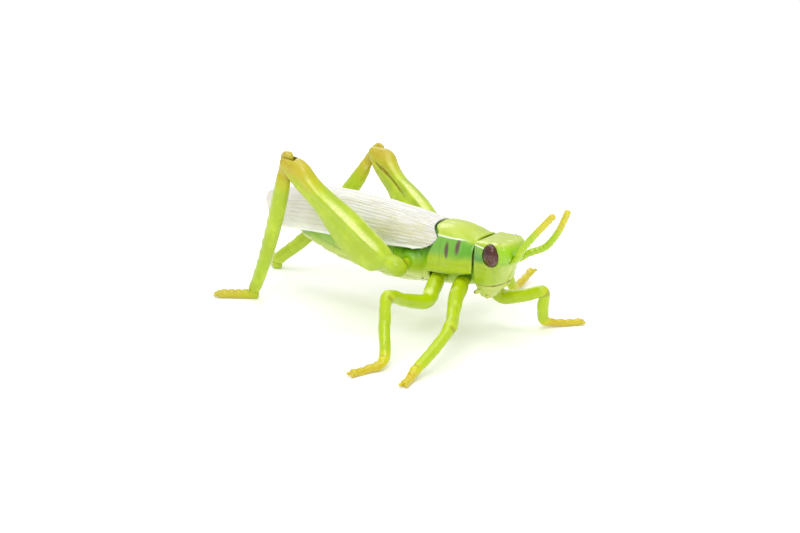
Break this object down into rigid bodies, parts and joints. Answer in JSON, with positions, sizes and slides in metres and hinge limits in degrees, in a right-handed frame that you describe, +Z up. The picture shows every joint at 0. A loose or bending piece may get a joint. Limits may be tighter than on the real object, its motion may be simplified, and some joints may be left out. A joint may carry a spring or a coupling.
{
  "type": "toy grasshopper figure",
  "caption": "Free-standing plastic grasshopper figure with plug-in jointed legs, folding wings, turning head and antennae.",
  "frame": {"origin": "centre of the bounding box's footprint on the ground plane (under the middle of the whole figure)", "axes": "+X towards the head along the body (longest side), +Y the insect's left, +Z up from the ground (shortest side)"},
  "size_m": [0.1206, 0.0979, 0.0479],
  "materials": {
    "lime": "glossy lime green moulded plastic, mustard-brown spray at knees and tips",
    "leaf": "glossy leaf green plastic, darker on the flank",
    "belly": "pale green plastic",
    "inner": "unpainted inner moulding",
    "plum": "glossy dark plum paint",
    "pearl": "pearly translucent sheet with fine lengthwise veins"
  },
  "bodies": {
    "body": {"thorax_frame": "inner", "thorax_upper_shell": "leaf", "sternum_plate": "belly", "abdomen_upper_shell": "leaf", "abdomen_belly_plate": "belly", "pronotum_shell": "lime", "neck_peg": "inner"},
    "head": {"head_capsule": "lime", "head_back_cap": "inner", "lower_jaw": "belly", "eye_left": "plum", "eye_right": "plum"},
    "antenna_right": {"antenna_right": "lime"},
    "wing_right": {"forewing_right": "pearl"},
    "hind_thigh_right": {"hind_femur_right": "lime", "knee_pin_right": "inner"},
    "hind_shin_right": {"hind_tibia_right": "lime"},
    "mid_leg_right": {"mid_leg_right": "lime"},
    "front_leg_right": {"front_leg_right": "lime"},
    "antenna_left": {"antenna_left": "lime"},
    "wing_left": {"forewing_left": "pearl"},
    "hind_thigh_left": {"hind_femur_left": "lime", "knee_pin_left": "inner"},
    "hind_shin_left": {"hind_tibia_left": "lime"},
    "mid_leg_left": {"mid_leg_left": "lime"},
    "front_leg_left": {"front_leg_left": "lime"}
  },
  "joints": [
    {"name": "head_turn", "type": "hinge", "parent": "body", "child": "head", "pos_m": [0.0371, 0, 0.0245], "axis": [1, 0, 0], "range_deg": [-12, 12]},
    {"name": "antenna_right_turn", "type": "hinge", "parent": "head", "child": "antenna_right", "pos_m": [0.0473, -0.0023, 0.0252], "axis": [0.721, -0.4206, 0.5507], "range_deg": [-40, 40]},
    {"name": "wing_right_lift", "type": "hinge", "parent": "body", "child": "wing_right", "pos_m": [0.0187, 0, 0.0272], "axis": [0, 1, 0], "range_deg": [0, 10]},
    {"name": "hip_right", "type": "hinge", "parent": "body", "child": "hind_thigh_right", "pos_m": [0.0149, -0.0132, 0.0198], "axis": [0, 1, 0], "range_deg": [-18, 20]},
    {"name": "knee_right", "type": "hinge", "parent": "hind_thigh_right", "child": "hind_shin_right", "pos_m": [-0.0204, -0.01842, 0.04588], "axis": [-0.0523, 0.9905, 0.1273], "range_deg": [-20, 70]},
    {"name": "mid_leg_right_swing", "type": "hinge", "parent": "body", "child": "mid_leg_right", "pos_m": [0.0239, -0.0055, 0.0186], "axis": [0, 0, 1], "range_deg": [-20, 7]},
    {"name": "front_leg_right_swing", "type": "hinge", "parent": "body", "child": "front_leg_right", "pos_m": [0.032, -0.0055, 0.0186], "axis": [0, 0, 1], "range_deg": [-7, 20]},
    {"name": "antenna_left_turn", "type": "hinge", "parent": "head", "child": "antenna_left", "pos_m": [0.0473, 0.0023, 0.0252], "axis": [0.721, 0.4206, 0.5507], "range_deg": [-40, 40]},
    {"name": "wing_left_lift", "type": "hinge", "parent": "body", "child": "wing_left", "pos_m": [0.0187, 0, 0.0272], "axis": [0, 1, 0], "range_deg": [0, 10]},
    {"name": "hip_left", "type": "hinge", "parent": "body", "child": "hind_thigh_left", "pos_m": [0.0149, 0.0132, 0.0198], "axis": [0, 1, 0], "range_deg": [-18, 20]},
    {"name": "knee_left", "type": "hinge", "parent": "hind_thigh_left", "child": "hind_shin_left", "pos_m": [-0.02292, 0.02631, 0.03856], "axis": [0.1007, 0.8994, -0.4255], "range_deg": [-35, 50]},
    {"name": "mid_leg_left_swing", "type": "hinge", "parent": "body", "child": "mid_leg_left", "pos_m": [0.0239, 0.0055, 0.0186], "axis": [0, 0, 1], "range_deg": [-15, 20]},
    {"name": "front_leg_left_swing", "type": "hinge", "parent": "body", "child": "front_leg_left", "pos_m": [0.032, 0.0055, 0.0186], "axis": [0, 0, 1], "range_deg": [-20, 15]}
  ]
}
